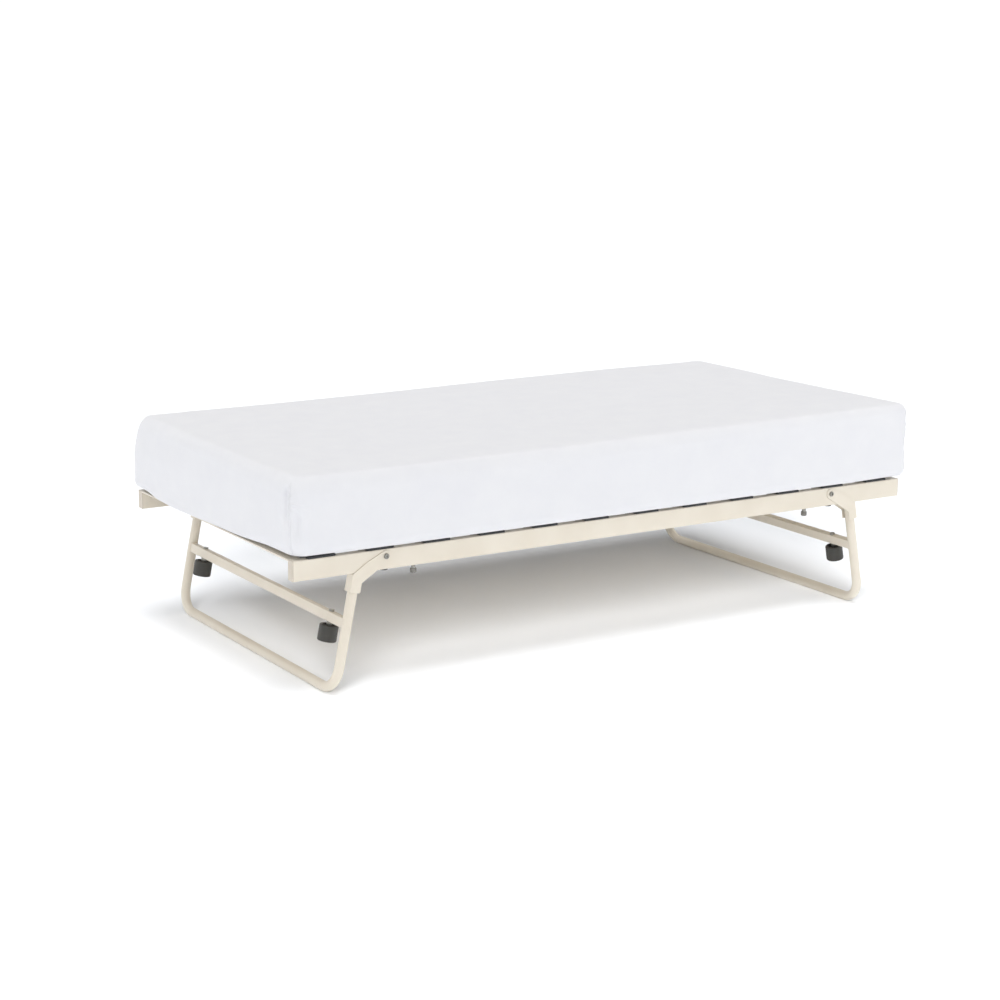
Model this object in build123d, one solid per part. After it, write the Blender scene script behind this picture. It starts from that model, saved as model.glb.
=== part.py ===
from build123d import *
import os
from math import asin, atan2, cos, hypot, radians, sin, sqrt

# Guest bed on fold-away legs, millimetres.  +X along the bed, +Y across it, +Z up.
# The origin is on the floor under the middle of the bed.

# ---- driving dimensions -----------------------------------------------------------------
BED_LENGTH = 1910.0        # over the end caps of the side rails
BED_WIDTH = 920.0          # over the outer faces of the side rails
RAIL_TOP = 355.0           # height of the side rails' upper face
RAIL_HEIGHT = 50.0         # the rails are 50 x 25 rectangular tube
RAIL_DEPTH = 25.0
RAIL_WALL = 1.5
RAIL_CORNER = 2.5          # outside corner radius of the rectangular tube
CAP_FLANGE = 2.5           # end cap plate that closes each rail
CAP_PLUG = 16.0            # ribbed plug behind the plate
CAP_SLACK = 0.2            # plug to tube wall, each side
CAP_WALL = 2.0             # wall of the hollow plug
CAP_EDGE = 1.0             # rounding round the plate
END_BAR_WIDTH = 33.0       # flat bar across each end of the frame
END_BAR_THICK = 4.0
END_BAR_EDGE = 0.8

SLAT_COUNT = 12
SLAT_PITCH = 159.0
SLAT_WIDTH = 64.0
SLAT_THICK = 7.6
SLAT_BOW = 2.2             # arch left in the ply slat under the mattress
SLAT_HALF = 424.0          # half the length of a slat
SLAT_EDGE = 2.0
HOLDER_WIDTH = 74.0        # along the bed
HOLDER_PAD = 5.0           # plastic pad on top of the rail
HOLDER_OUT = 3.0           # pad's set-back from the rail's outer face
HOLDER_GAP = 5.0           # pocket's set-back from the rail's inner face
HOLDER_DEPTH = 42.0        # depth of the pocket along the slat
HOLDER_BASE = 8.0          # underside of the pocket, below the rail's top
HOLDER_CORNER = 4.0
HOLDER_EDGE = 0.8
SLAT_LIFT = 2.7            # slat above the underside of the pocket
POCKET_SLACK = 0.2         # pocket to slat, beside it and at its end
POCKET_HEADROOM = 0.9      # pocket to slat, above it, for the arch
PEG_RADIUS = 4.0
PEG_LENGTH = 9.0

PIVOT_X = 704.4            # leg hinge, from the middle of the bed
PIVOT_Z = 338.0
LEG_SPLAY = 11.31          # degrees, leg to plumb line
LEG_AXIS_X = 780.0         # the leg's centre line where it reaches the rail's underside
TUBE_RADIUS = 12.7         # 1 inch round tube
TUBE_WALL = 1.5
TUBE_BEND = 62.0           # bend radius on the centre line
STOP_GAP = 0.3             # leg's cut end to the rail's underside
CUT_LENGTH = 100.0         # block that trims the leg's ends level
CUT_HEIGHT = 50.0

SHEET_STEEL = 2.0          # thickness of the pressed bracket
CHEEK_GAP = 0.5            # bracket cheek to rail face
EAR_RADIUS = 14.0          # rounded end of the bracket around the hinge bolt
CHANNEL_LENGTH = 48.5      # channel below the rail, along the leg
WEB_START = 4.5            # rail's underside to the top of the channel's web, along the leg
CHEEK_LIP = 0.5            # cheek past the inboard side of the tube
ARM_LOW_Z = 282.0          # height where the diagonal arm leaves the channel, inboard
SHOULDER = (757.0, 328.5)  # bend in the upper edge of the arm, (outboard x, z)
BRACKET_BEND = 1.6         # outside radius between cheek and web

CROSSBAR_HEIGHT = 25.0     # 25 x 20 rectangular tube, tilted with the leg
CROSSBAR_DEPTH = 20.0
CROSSBAR_WALL = 1.5
CROSSBAR_EDGE = 2.0
CROSSBAR_Z = 179.0         # height of its centre
COPE_REACH = 40.0          # half length of the cutters through the bar

ROLLER_RADIUS = 24.0
ROLLER_LENGTH = 42.0
ROLLER_Y = 365.0           # from the bed's centre line
ROLLER_GAP = 8.0           # crossbar to roller
ROLLER_EDGE = 4.0
RECESS_RADIUS = 17.5
RECESS_TOP = 10.0
RECESS_LOW = 13.0
ROLLER_CLEAR = 0.06        # running clearance on the roller's bolt

BOLT_RADIUS = 4.0          # M8
BOLT_HEAD_RADIUS = 7.0
BOLT_HEAD_HEIGHT = 4.2
BOLT_DOME = 2.6            # rounding of the hinge bolt's head
SOCKET_RADIUS = 2.5        # hexagon socket in it, across flats / 2
SOCKET_DEPTH = 2.4
THREAD_PAST_NUT = 1.5
TIP_TO_ROLLER = 2.0        # roller bolt's tip inside the roller's lower end
NUT_FLATS = 13.0
NUT_HEIGHT = 6.5
WASHER_RADIUS = 8.0
WASHER_THICK = 1.6
BOLT_CLEAR = 0.06          # bolt in the holes it turns in
FACE_CLEAR = 0.3           # axial play beside a turning part

STOP_X = 621.0             # buffer that the folded leg lands on
BUFFER_RADIUS = 8.0
BUFFER_HEIGHT = 12.0
BUFFER_EDGE = 2.0          # chamfer round its lower end
BUFFER_ROUND = 1.5         # rounding of its upper end
MOUTH_RADIUS = 5.0         # recess for the screw's head
MOUTH_DEPTH = 4.0
STEM_RADIUS = 3.5
STOP_HEAD_RADIUS = 4.6
STOP_HEAD_HEIGHT = 3.0
STOP_HEAD_ROUND = 1.0
STOP_COLLAR = 5.5          # spacer between buffer and rail
STEM_INSIDE = 6.0          # screw's end above the rail's lower wall
PLUG_RADIUS = 11.0         # push-in plug under the rail below each hinge
PLUG_STEM = 6.0
PLUG_HEAD = 3.0
PLUG_INSIDE = 5.0
PLUG_EDGE = 1.2

MATTRESS_LENGTH = 1936.0
MATTRESS_WIDTH = 960.0
MATTRESS_THICK = 200.0
MATTRESS_CORNER = 48.0     # plan radius of the corners
MATTRESS_TOP_EDGE = 26.0
MATTRESS_LOW_EDGE = 16.0
CORE_WALL = 10.0           # closed casing that weighs what foam, springs and ticking do
SHEET_THICK = 1.2
SHEET_TUCK = 90.0          # fitted sheet's hem under the mattress
SHEET_GAP = 0.3

PAST = 1.0                 # how far a cutter runs beyond what it cuts

# ---- worked-out values ------------------------------------------------------------------
RAIL_BOTTOM = RAIL_TOP - RAIL_HEIGHT
RAIL_OUT = BED_WIDTH / 2
RAIL_IN = RAIL_OUT - RAIL_DEPTH
RAIL_MID = RAIL_OUT - RAIL_DEPTH / 2
END_X = BED_LENGTH / 2
SLEEP_Z = RAIL_TOP + HOLDER_PAD
SLAT_LOW = RAIL_TOP - HOLDER_BASE + SLAT_LIFT
SPLAY = radians(LEG_SPLAY)
DOWN = (sin(SPLAY), -cos(SPLAY))          # along the leg in (outboard x, z)
OUT = (cos(SPLAY), sin(SPLAY))            # square to the leg, outboard
LEFT, RIGHT = -1, 1
SIDES = {"near": -1, "far": 1}
ENDS = {"left": LEFT, "right": RIGHT}


def on_leg(along, out=0.0):
    """Point in (outboard x, z), measured down the leg from the rail's underside."""
    x = LEG_AXIS_X + along * DOWN[0] + out * OUT[0]
    z = RAIL_BOTTOM + along * DOWN[1] + out * OUT[1]
    return x, z


def along_at(z):
    """Distance down the leg's centre line at height z."""
    return (RAIL_BOTTOM - z) / cos(SPLAY)


def place(shape, end):
    """Right-hand part as drawn, or its mirror image for the left end."""
    return shape if end == RIGHT else mirror(shape, about=Plane.YZ)


def flip(shape, side):
    """Far-side part as drawn, or its mirror image for the near side."""
    return shape if side == 1 else mirror(shape, about=Plane.XZ)


def rod(radius, low, high, axis, centre):
    """Cylinder from low to high along X, Y or Z through the centre point."""
    length = high - low
    middle = (low + high) / 2
    turn = {"X": (0, 90, 0), "Y": (90, 0, 0), "Z": (0, 0, 0)}[axis]
    spot = {"X": (middle, centre[0], centre[1]),
            "Y": (centre[0], middle, centre[1]),
            "Z": (centre[0], centre[1], middle)}[axis]
    return Location(spot, turn) * Cylinder(radius, length)


def leg_rod(radius, start, stop, y):
    """Cylinder parallel to the right-hand leg, on its plane, between two distances."""
    x, z = on_leg((start + stop) / 2)
    return Location((x, y, z), (0, -LEG_SPLAY, 0)) * Cylinder(radius, stop - start)


def leg_hex(flats, start, stop, y):
    """Hexagonal prism parallel to the right-hand leg."""
    x, z = on_leg((start + stop) / 2)
    prism = extrude(RegularPolygon(flats / 2, 6, major_radius=False), stop - start)
    return Location((x, y, z), (0, -LEG_SPLAY, 0)) * Pos(0, 0, -(stop - start) / 2) * prism


def leg_box(height, depth, y_length, along):
    """Box square to the right-hand leg, centred on its plane."""
    x, z = on_leg(along)
    return Location((x, 0, z), (0, -LEG_SPLAY, 0)) * Box(depth, y_length, height)


# ---- frame ------------------------------------------------------------------------------
def slat_places():
    """Centre of every slat along the bed."""
    first = -SLAT_PITCH * (SLAT_COUNT - 1) / 2
    return [first + SLAT_PITCH * number for number in range(SLAT_COUNT)]


def side_rail():
    """Rectangular tube on the far side, drilled for bolts, pegs, stops and plugs."""
    length = BED_LENGTH - 2 * CAP_FLANGE
    outer = Box(length, RAIL_DEPTH, RAIL_HEIGHT)
    outer = fillet(outer.edges().filter_by(Axis.X), RAIL_CORNER)
    core = Box(length + 2 * PAST, RAIL_DEPTH - 2 * RAIL_WALL, RAIL_HEIGHT - 2 * RAIL_WALL)
    middle_z = RAIL_TOP - RAIL_HEIGHT / 2
    rail = Pos(0, RAIL_MID, middle_z) * (outer - core)
    for end in (LEFT, RIGHT):
        hinge = (end * PIVOT_X, PIVOT_Z)
        rail -= rod(BOLT_RADIUS + BOLT_CLEAR, RAIL_IN - PAST, RAIL_OUT + PAST, "Y", hinge)
        floor = (RAIL_BOTTOM - PAST, RAIL_BOTTOM + RAIL_WALL + PAST)
        rail -= rod(STEM_RADIUS + BOLT_CLEAR, *floor, "Z", (end * STOP_X, RAIL_MID))
        rail -= rod(PLUG_STEM + BOLT_CLEAR, *floor, "Z", (end * PIVOT_X, RAIL_MID))
    for x in slat_places():
        roof = (RAIL_TOP - RAIL_WALL - PAST, RAIL_TOP + PAST)
        rail -= rod(PEG_RADIUS + BOLT_CLEAR, *roof, "Z", (x, RAIL_MID))
    return rail


def rail_cap():
    """Moulded cap for the right end of the far rail: plate and hollow ribbed plug."""
    middle_z = RAIL_TOP - RAIL_HEIGHT / 2
    plate = Box(CAP_FLANGE, RAIL_DEPTH, RAIL_HEIGHT)
    plate = fillet(plate.edges().filter_by(Axis.X), RAIL_CORNER)
    plate = fillet(plate.faces().sort_by(Axis.X)[-1].edges(), CAP_EDGE)
    plate = Pos(END_X - CAP_FLANGE / 2, RAIL_MID, middle_z) * plate
    inset = 2 * (RAIL_WALL + CAP_SLACK)
    plug = Box(CAP_PLUG, RAIL_DEPTH - inset, RAIL_HEIGHT - inset)
    inset += 2 * CAP_WALL
    hollow = Box(CAP_PLUG, RAIL_DEPTH - inset, RAIL_HEIGHT - inset)
    plug = plug - Pos(-CAP_WALL, 0, 0) * hollow
    plug_x = END_X - CAP_FLANGE - CAP_PLUG / 2
    return plate + Pos(plug_x, RAIL_MID, middle_z) * plug


def end_rail():
    """Flat bar welded between the rails, flush with their upper faces."""
    bar = Box(END_BAR_WIDTH, 2 * RAIL_IN, END_BAR_THICK)
    bar = fillet(bar.edges().filter_by(Axis.Y), END_BAR_EDGE)
    return Pos(END_X - END_BAR_WIDTH / 2, 0, RAIL_TOP - END_BAR_THICK / 2) * bar


def slat(x):
    """Laminated slat, slightly arched across the bed, with rounded long edges."""
    low = SLAT_LOW
    high = SLAT_LOW + SLAT_THICK
    bottom = ThreePointArc((-SLAT_HALF, low), (0, low + SLAT_BOW), (SLAT_HALF, low))
    top = ThreePointArc((SLAT_HALF, high), (0, high + SLAT_BOW), (-SLAT_HALF, high))
    right = Line(bottom @ 1, top @ 0)
    left = Line(top @ 1, bottom @ 0)
    outline = make_face(Wire([bottom, right, top, left]))
    body = extrude(Plane.YZ * outline, SLAT_WIDTH / 2, both=True)
    long_edges = body.edges().filter_by(GeomType.CIRCLE)
    return Pos(x, 0, 0) * fillet(long_edges, SLAT_EDGE)


def slat_holder(x):
    """Plastic holder on the far rail: pad, peg into the rail and pocket for the slat."""
    pad_length = RAIL_DEPTH - HOLDER_OUT + HOLDER_GAP
    pad = Box(HOLDER_WIDTH, pad_length, HOLDER_PAD)
    pad = Pos(0, RAIL_OUT - HOLDER_OUT - pad_length / 2, RAIL_TOP + HOLDER_PAD / 2) * pad
    pocket_high = HOLDER_PAD + HOLDER_BASE
    pocket_y = RAIL_IN - HOLDER_GAP - HOLDER_DEPTH / 2
    pocket_z = SLEEP_Z - pocket_high / 2
    pocket = Pos(0, pocket_y, pocket_z) * Box(HOLDER_WIDTH, HOLDER_DEPTH, pocket_high)
    holder = pad + pocket
    upright = holder.edges().filter_by(Axis.Z).sort_by(Axis.Y)
    holder = fillet(upright[-2:] + upright[:2], HOLDER_CORNER)
    holder = chamfer(holder.faces().sort_by(Axis.Z)[-1].edges(), HOLDER_EDGE)
    mouth_high = SLAT_THICK + POCKET_HEADROOM
    mouth = Box(SLAT_WIDTH + 2 * POCKET_SLACK, HOLDER_DEPTH, mouth_high)
    mouth_y = SLAT_HALF + POCKET_SLACK - HOLDER_DEPTH / 2
    holder -= Pos(0, mouth_y, SLAT_LOW + mouth_high / 2) * mouth
    holder += rod(PEG_RADIUS, RAIL_TOP - PEG_LENGTH, RAIL_TOP, "Z", (0, RAIL_MID))
    return Pos(x, 0, 0) * holder


def hole_plug():
    """Push-in plastic plug in the underside of the far rail, below the right hinge."""
    head = rod(PLUG_RADIUS, RAIL_BOTTOM - PLUG_HEAD, RAIL_BOTTOM, "Z", (PIVOT_X, RAIL_MID))
    head = fillet(head.edges().sort_by(Axis.Z)[0], PLUG_EDGE)
    return head + rod(PLUG_STEM, RAIL_BOTTOM, RAIL_BOTTOM + PLUG_INSIDE, "Z",
                      (PIVOT_X, RAIL_MID))


def stop_buffer():
    """Rubber buffer under the far rail that the folded right leg lands on."""
    low = folded_tube_top() + FACE_CLEAR
    high = low + BUFFER_HEIGHT
    centre = (STOP_X, RAIL_MID)
    buffer = rod(BUFFER_RADIUS, low, high, "Z", centre)
    buffer = chamfer(buffer.edges().sort_by(Axis.Z)[0], BUFFER_EDGE)
    buffer = fillet(buffer.edges().sort_by(Axis.Z)[-1], BUFFER_ROUND)
    buffer -= rod(MOUTH_RADIUS, low - PAST, low + MOUTH_DEPTH, "Z", centre)
    return buffer - rod(STEM_RADIUS, low, high + PAST, "Z", centre)


def stop_screw():
    """Zinc screw and spacer that hold the buffer: head in its mouth, shank in the rail."""
    low = folded_tube_top() + FACE_CLEAR
    seat = low + MOUTH_DEPTH
    centre = (STOP_X, RAIL_MID)
    screw = rod(STOP_HEAD_RADIUS, seat - STOP_HEAD_HEIGHT, seat, "Z", centre)
    screw = fillet(screw.edges().sort_by(Axis.Z)[0], STOP_HEAD_ROUND)
    screw += rod(STEM_RADIUS, seat, RAIL_BOTTOM + RAIL_WALL + STEM_INSIDE, "Z", centre)
    return screw + rod(STOP_COLLAR, low + BUFFER_HEIGHT, RAIL_BOTTOM, "Z", centre)


def folded_tube_top():
    """Height of the leg tube's upper side once the leg lies level under the rail."""
    arm_x = LEG_AXIS_X - PIVOT_X
    arm_z = RAIL_BOTTOM - PIVOT_Z
    return PIVOT_Z - (arm_x * OUT[0] + arm_z * OUT[1]) + TUBE_RADIUS


# ---- hinge hardware ---------------------------------------------------------------------
def cheek_faces():
    """Outer and inner surfaces, in y, of the far bracket's two cheeks."""
    outer = RAIL_OUT + CHEEK_GAP
    inner = RAIL_IN - CHEEK_GAP
    return (outer, outer + SHEET_STEEL), (inner - SHEET_STEEL, inner)


def pivot_bolt():
    """Hinge bolt of the far right bracket, dome head outside."""
    outer, inner = cheek_faces()
    head_y = outer[1] + FACE_CLEAR
    end_y = inner[0] - FACE_CLEAR - WASHER_THICK - NUT_HEIGHT - THREAD_PAST_NUT
    centre = (PIVOT_X, PIVOT_Z)
    head = rod(BOLT_HEAD_RADIUS, head_y, head_y + BOLT_HEAD_HEIGHT, "Y", centre)
    head = fillet(head.edges().sort_by(Axis.Y)[-1], BOLT_DOME)
    hexagon = Pos(PIVOT_X, PIVOT_Z) * RegularPolygon(SOCKET_RADIUS, 6, major_radius=False)
    socket = extrude(Plane.XZ.offset(-(head_y + BOLT_HEAD_HEIGHT)) * hexagon, SOCKET_DEPTH)
    return head - socket + rod(BOLT_RADIUS, end_y, head_y, "Y", centre)


def pivot_washer():
    """Washer between the inner cheek and the nut of the far right hinge."""
    inner = cheek_faces()[1]
    high = inner[0] - FACE_CLEAR
    centre = (PIVOT_X, PIVOT_Z)
    ring = rod(WASHER_RADIUS, high - WASHER_THICK, high, "Y", centre)
    return ring - rod(BOLT_RADIUS, high - WASHER_THICK - PAST, high + PAST, "Y", centre)


def pivot_nut():
    """Locking nut of the far right hinge, inboard of the rail."""
    inner = cheek_faces()[1]
    high = inner[0] - FACE_CLEAR - WASHER_THICK
    centre = (PIVOT_X, PIVOT_Z)
    hexagon = Pos(*centre) * RegularPolygon(NUT_FLATS / 2, 6, major_radius=False)
    prism = extrude(Plane.XZ.offset(-high) * hexagon, NUT_HEIGHT)
    return prism - rod(BOLT_RADIUS, high - NUT_HEIGHT - PAST, high + PAST, "Y", centre)


def tangent_point(corner, radius, upper):
    """Where the line from a corner touches the ear circle, on its upper or lower side."""
    dx, dz = PIVOT_X - corner[0], PIVOT_Z - corner[1]
    reach = hypot(dx, dz)
    lean = asin(radius / reach)
    run = sqrt(reach ** 2 - radius ** 2)
    turn = atan2(dz, dx) + (-lean if upper else lean)
    return corner[0] + run * cos(turn), corner[1] + run * sin(turn)


def cheek_outline():
    """Side view of a bracket cheek: ear, diagonal arm and the part beside the tube."""
    web_out = TUBE_RADIUS + SHEET_STEEL
    edge_in = -(TUBE_RADIUS + CHEEK_LIP)
    low_out = on_leg(CHANNEL_LENGTH, web_out)
    low_in = on_leg(CHANNEL_LENGTH, edge_in)
    corner_in = on_leg(along_at(ARM_LOW_Z), edge_in)
    corner_out = on_leg(WEB_START, web_out)
    touch_low = tangent_point(corner_in, EAR_RADIUS, False)
    touch_high = tangent_point(SHOULDER, EAR_RADIUS, True)
    ear_tip = (PIVOT_X - EAR_RADIUS, PIVOT_Z)
    edges = [Line(touch_high, SHOULDER), Line(SHOULDER, corner_out), Line(corner_out, low_out),
             Line(low_out, low_in), Line(low_in, corner_in), Line(corner_in, touch_low),
             ThreePointArc(touch_low, ear_tip, touch_high)]
    return make_face(Wire(edges))


def leg_bracket():
    """Pressed channel of the far right leg: two cheeks and a web outboard of the tube."""
    outer, inner = cheek_faces()
    profile = Plane.XZ * cheek_outline()
    bracket = Part()
    for low, high in (outer, inner):
        bracket += Pos(0, high, 0) * extrude(profile, high - low)
    web_length = CHANNEL_LENGTH - WEB_START
    x, z = on_leg((CHANNEL_LENGTH + WEB_START) / 2, TUBE_RADIUS + SHEET_STEEL / 2)
    web = Box(SHEET_STEEL, outer[1] - inner[0], web_length)
    bracket += Location((x, (outer[1] + inner[0]) / 2, z), (0, -LEG_SPLAY, 0)) * web
    close = 0.2
    bends = [edge for edge in bracket.edges()
             if abs(edge.length - web_length) < close and edge.center().X > x
             and min(abs(edge.center().Y - outer[1]), abs(edge.center().Y - inner[0])) < close]
    bracket = fillet(bends, BRACKET_BEND)
    return bracket - rod(BOLT_RADIUS + BOLT_CLEAR, inner[0] - PAST, outer[1] + PAST, "Y",
                         (PIVOT_X, PIVOT_Z))


# ---- leg frame --------------------------------------------------------------------------
def leg_path():
    """Centre line of the right-hand U-shaped leg, from the far top round to the near top."""
    plane = Plane(origin=(LEG_AXIS_X, 0, RAIL_BOTTOM), x_dir=(0, 1, 0),
                  z_dir=(OUT[0], 0, OUT[1]))
    bottom = -along_at(TUBE_RADIUS)
    top = TUBE_RADIUS * sin(SPLAY) + PAST
    corners = [(RAIL_MID, top), (RAIL_MID, bottom), (-RAIL_MID, bottom), (-RAIL_MID, top)]
    return plane * FilletPolyline(*corners, radius=TUBE_BEND)


def leg_tube():
    """Bent round tube of the right-hand leg, its ends cut level under the rail."""
    path = leg_path()
    start = Plane(origin=path @ 0, z_dir=path % 0)
    ring = Circle(TUBE_RADIUS) - Circle(TUBE_RADIUS - TUBE_WALL)
    tube = sweep(start * ring, path=path)
    above = Box(CUT_LENGTH, BED_WIDTH + 4 * TUBE_RADIUS, CUT_HEIGHT)
    return tube - Pos(LEG_AXIS_X, 0, RAIL_BOTTOM - STOP_GAP + CUT_HEIGHT / 2) * above


def crossbar():
    """Rectangular tube between the uprights, its ends coped round the leg tube."""
    middle = along_at(CROSSBAR_Z)
    outer = leg_box(CROSSBAR_HEIGHT, CROSSBAR_DEPTH, 2 * RAIL_MID, middle)
    outer = fillet(outer.edges().filter_by(Axis.Y), CROSSBAR_EDGE)
    core = leg_box(CROSSBAR_HEIGHT - 2 * CROSSBAR_WALL, CROSSBAR_DEPTH - 2 * CROSSBAR_WALL,
                   2 * (RAIL_MID + PAST), middle)
    bar = outer - core
    reach = (middle - COPE_REACH, middle + COPE_REACH)
    for side in (-1, 1):
        bar -= leg_rod(TUBE_RADIUS, *reach, side * RAIL_MID)
        bar -= leg_rod(BOLT_RADIUS + BOLT_CLEAR, *reach, side * ROLLER_Y)
    return bar


# ---- rollers ----------------------------------------------------------------------------
def roller_start():
    """Distance down the leg of the roller's upper end."""
    return along_at(CROSSBAR_Z) + CROSSBAR_HEIGHT / 2 + ROLLER_GAP


def roller():
    """Barrel roller of the far right leg, recessed at both ends."""
    start = roller_start()
    stop = start + ROLLER_LENGTH
    drum = leg_rod(ROLLER_RADIUS, start, stop, ROLLER_Y)
    drum = fillet(drum.edges().filter_by(GeomType.CIRCLE), ROLLER_EDGE)
    drum -= leg_rod(RECESS_RADIUS, start - PAST, start + RECESS_TOP, ROLLER_Y)
    drum -= leg_rod(RECESS_RADIUS, stop - RECESS_LOW, stop + PAST, ROLLER_Y)
    return drum - leg_rod(BOLT_RADIUS + ROLLER_CLEAR, start - PAST, stop + PAST, ROLLER_Y)


def roller_bolt(y):
    """Bolt down through the crossbar that a roller turns on, hexagon head on top."""
    top = along_at(CROSSBAR_Z) - CROSSBAR_HEIGHT / 2
    stop = roller_start() + ROLLER_LENGTH - TIP_TO_ROLLER
    head = leg_hex(NUT_FLATS, top - BOLT_HEAD_HEIGHT, top, y)
    return head + leg_rod(BOLT_RADIUS, top, stop, y)


def roller_spacer(y):
    """Steel sleeve between the crossbar and the hub of a roller."""
    start = along_at(CROSSBAR_Z) + CROSSBAR_HEIGHT / 2
    stop = roller_start() + RECESS_TOP - FACE_CLEAR
    sleeve = leg_rod(WASHER_RADIUS, start, stop, y)
    return sleeve - leg_rod(BOLT_RADIUS, start - PAST, stop + PAST, y)


def roller_nut(y):
    """Washer-faced locking nut in the lower recess of a roller."""
    start = roller_start() + ROLLER_LENGTH - RECESS_LOW + FACE_CLEAR
    seat = start + WASHER_THICK
    stop = seat + NUT_HEIGHT
    nut = leg_rod(WASHER_RADIUS, start, seat, y) + leg_hex(NUT_FLATS, seat, stop, y)
    return nut - leg_rod(BOLT_RADIUS, start - PAST, stop + PAST, y)


# ---- mattress ---------------------------------------------------------------------------
def mattress_shape(inset):
    """Mattress block, drawn in by an inset: softer along the top than along the bottom."""
    size = [span - 2 * inset for span in (MATTRESS_LENGTH, MATTRESS_WIDTH, MATTRESS_THICK)]
    block = Pos(0, 0, SLEEP_Z + MATTRESS_THICK / 2) * Box(*size)
    block = fillet(block.edges().filter_by(Axis.Z), MATTRESS_CORNER - inset)
    block = fillet(block.faces().sort_by(Axis.Z)[-1].edges(), MATTRESS_TOP_EDGE - inset)
    return fillet(block.faces().sort_by(Axis.Z)[0].edges(), MATTRESS_LOW_EDGE - inset)


def mattress_core():
    """Mattress inside the sheet: a closed casing, hollow where springs and air would be."""
    outside = SHEET_THICK + SHEET_GAP
    return mattress_shape(outside) - mattress_shape(outside + CORE_WALL)


def fitted_sheet():
    """Fitted sheet: over the top, down the sides and tucked under along all four edges."""
    skin = mattress_shape(0) - mattress_shape(SHEET_THICK)
    mouth = Box(MATTRESS_LENGTH - 2 * SHEET_TUCK, MATTRESS_WIDTH - 2 * SHEET_TUCK,
                4 * SHEET_THICK)
    mouth = fillet(mouth.edges().filter_by(Axis.Z), MATTRESS_CORNER)
    return skin - Pos(0, 0, SLEEP_Z) * mouth


# ---- writing the sub-parts --------------------------------------------------------------
def save(name, shape):
    """Write one sub-part."""
    export_step(shape, f"parts/{name}.step")


def four(shape):
    """The same far right piece at all four corners of the frame."""
    return Compound([place(flip(shape, side), end) for side in (-1, 1) for end in (-1, 1)])


def build():
    """Make every sub-part."""
    os.makedirs("parts", exist_ok=True)

    rail = side_rail()
    for side_name, side in SIDES.items():
        save(f"side_rail_{side_name}", flip(rail, side))
        holders = [flip(slat_holder(x), side) for x in slat_places()]
        save(f"slat_holders_{side_name}", Compound(holders))

    cap = rail_cap()
    bracket = leg_bracket()
    wheel = roller()
    for end_name, end in ENDS.items():
        save(f"end_rail_{end_name}", place(end_rail(), end))
        save(f"leg_tube_{end_name}", place(leg_tube(), end))
        save(f"crossbar_{end_name}", place(crossbar(), end))
        for name, make in (("roller_bolts", roller_bolt), ("roller_spacers", roller_spacer),
                           ("roller_nuts", roller_nut)):
            pair = [place(make(side * ROLLER_Y), end) for side in (-1, 1)]
            save(f"{name}_{end_name}", Compound(pair))
        for side_name, side in SIDES.items():
            save(f"rail_cap_{end_name}_{side_name}", place(flip(cap, side), end))
            save(f"leg_bracket_{end_name}_{side_name}", place(flip(bracket, side), end))
            save(f"roller_{end_name}_{side_name}", place(flip(wheel, side), end))

    for number, x in enumerate(slat_places(), start=1):
        save(f"slat_{number:02d}", slat(x))

    save("pivot_bolts", four(pivot_bolt()))
    save("pivot_washers", four(pivot_washer()))
    save("pivot_nuts", four(pivot_nut()))
    save("hole_plugs", four(hole_plug()))
    save("stop_buffers", four(stop_buffer()))
    save("stop_screws", four(stop_screw()))

    save("mattress_core", mattress_core())
    save("fitted_sheet", fitted_sheet())


build()
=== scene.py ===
from math import cos, pi, radians, sin, sqrt

import bpy
import numpy as np
from mathutils import Matrix, Vector
from mathutils.geometry import delaunay_2d_cdt
from mathutils.kdtree import KDTree


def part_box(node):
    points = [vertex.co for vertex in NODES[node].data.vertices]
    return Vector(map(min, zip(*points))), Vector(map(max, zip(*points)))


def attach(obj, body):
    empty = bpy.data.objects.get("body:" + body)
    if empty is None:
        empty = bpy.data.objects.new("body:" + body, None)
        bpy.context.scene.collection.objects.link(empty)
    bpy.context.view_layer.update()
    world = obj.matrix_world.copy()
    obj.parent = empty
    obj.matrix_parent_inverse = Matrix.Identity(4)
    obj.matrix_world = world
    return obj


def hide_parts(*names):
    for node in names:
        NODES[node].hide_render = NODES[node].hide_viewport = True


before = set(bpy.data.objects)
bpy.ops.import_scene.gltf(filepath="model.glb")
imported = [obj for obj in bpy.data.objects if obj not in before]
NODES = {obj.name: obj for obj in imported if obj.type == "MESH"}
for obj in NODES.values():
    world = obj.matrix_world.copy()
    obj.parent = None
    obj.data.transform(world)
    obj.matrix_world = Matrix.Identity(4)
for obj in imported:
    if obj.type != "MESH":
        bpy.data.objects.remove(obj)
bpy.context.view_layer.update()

# Looks of the rollaway bed: metres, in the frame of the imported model.

MM = 0.001
SHEET_LOW, SHEET_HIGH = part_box("fitted_sheet")
CORNERS = [(1, -1), (1, 1), (-1, 1), (-1, -1)]
SIDES = {"near": -1, "far": 1}
ENDS = {"left": -1, "right": 1}


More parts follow.
